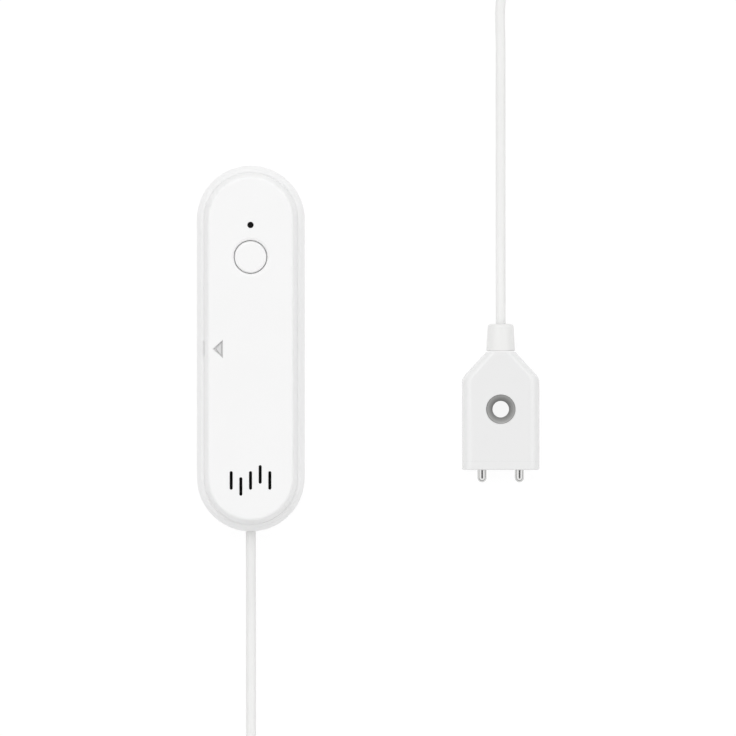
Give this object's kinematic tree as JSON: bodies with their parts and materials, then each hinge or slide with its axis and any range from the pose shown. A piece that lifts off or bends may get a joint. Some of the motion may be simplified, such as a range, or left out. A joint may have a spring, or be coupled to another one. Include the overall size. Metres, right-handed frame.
{
  "type": "water leak sensor",
  "caption": "Slim white round-ended leak alarm with a button, sound slots and lift-off battery cover, cabled to a flat probe with metal sensing pins and a screw eyelet.",
  "frame": {"origin": "centre of the outer face of the mounting pad on the alarm unit's back", "axes": "+Z out of the front face, +Y along the unit towards its button end, +X towards the probe"},
  "size_m": [0.1672, 0.2842, 0.019],
  "materials": {
    "white_abs": "satin moulded",
    "white_pvc": "smooth flexible",
    "dark_lens": "smoked clear",
    "stainless_steel": "turned and polished",
    "nickel_plate": "plated",
    "black_plastic": "moulded",
    "grey_plastic": "moulded",
    "board_laminate": "solder mask",
    "cell_jacket": "shrink sleeve",
    "foam": "adhesive foam",
    "black_foam": "foam",
    "led_resin": "clear resin",
    "red_pvc": "wire jacket",
    "black_pvc": "wire jacket",
    "white_tie": "soft strap"
  },
  "bodies": {
    "base": {"back_shell": "white_abs", "mounting_pad": "foam", "main_board": "board_laminate", "board_screw_upper_left": "stainless_steel", "board_screw_upper_right": "stainless_steel", "board_screw_lower_left": "stainless_steel", "switch_body": "black_plastic", "status_led": "led_resin", "radio_module": "board_laminate", "radio_shield": "nickel_plate", "buzzer": "black_plastic", "buzzer_gasket": "black_foam", "battery_tray": "black_plastic", "cell_left": "cell_jacket", "cell_right": "cell_jacket", "contact_plate_minus": "nickel_plate", "contact_spring_lower": "nickel_plate", "contact_plate_plus": "nickel_plate", "control_chip": "black_plastic", "drive_coil": "black_plastic", "contact_bridge": "nickel_plate", "contact_spring_upper": "nickel_plate", "cable_grommet": "white_pvc", "lead_header": "white_abs", "lead_plug": "white_abs", "sensor_lead_1": "red_pvc", "sensor_lead_2": "black_pvc", "unit_cable": "white_pvc", "cable_coil": "white_pvc", "coil_tie": "white_tie", "probe_cable": "white_pvc", "probe_body": "white_abs", "probe_end_cap": "white_abs", "probe_pin_left": "stainless_steel", "probe_pin_right": "stainless_steel", "probe_eyelet": "stainless_steel", "probe_boot": "white_pvc"},
    "cover": {"front_cover": "white_abs", "light_pipe": "dark_lens"},
    "button": {"button_cap": "white_abs"},
    "plunger": {"switch_plunger": "grey_plastic"}
  },
  "joints": [
    {"name": "cover_lift", "type": "slide", "parent": "base", "child": "cover", "axis": [0, 0, 1], "range_m": [0, 0.03]},
    {"name": "button_press", "type": "slide", "parent": "cover", "child": "button", "axis": [0, 0, -1], "range_m": [0, 0.0004], "stiffness_N_per_m": 600},
    {"name": "plunger_press", "type": "slide", "parent": "base", "child": "plunger", "axis": [0, 0, -1], "range_m": [0, 0.0004]}
  ],
  "couplings": [
    {"joint": "plunger_press", "follows": "button_press", "ratio": 1}
  ]
}
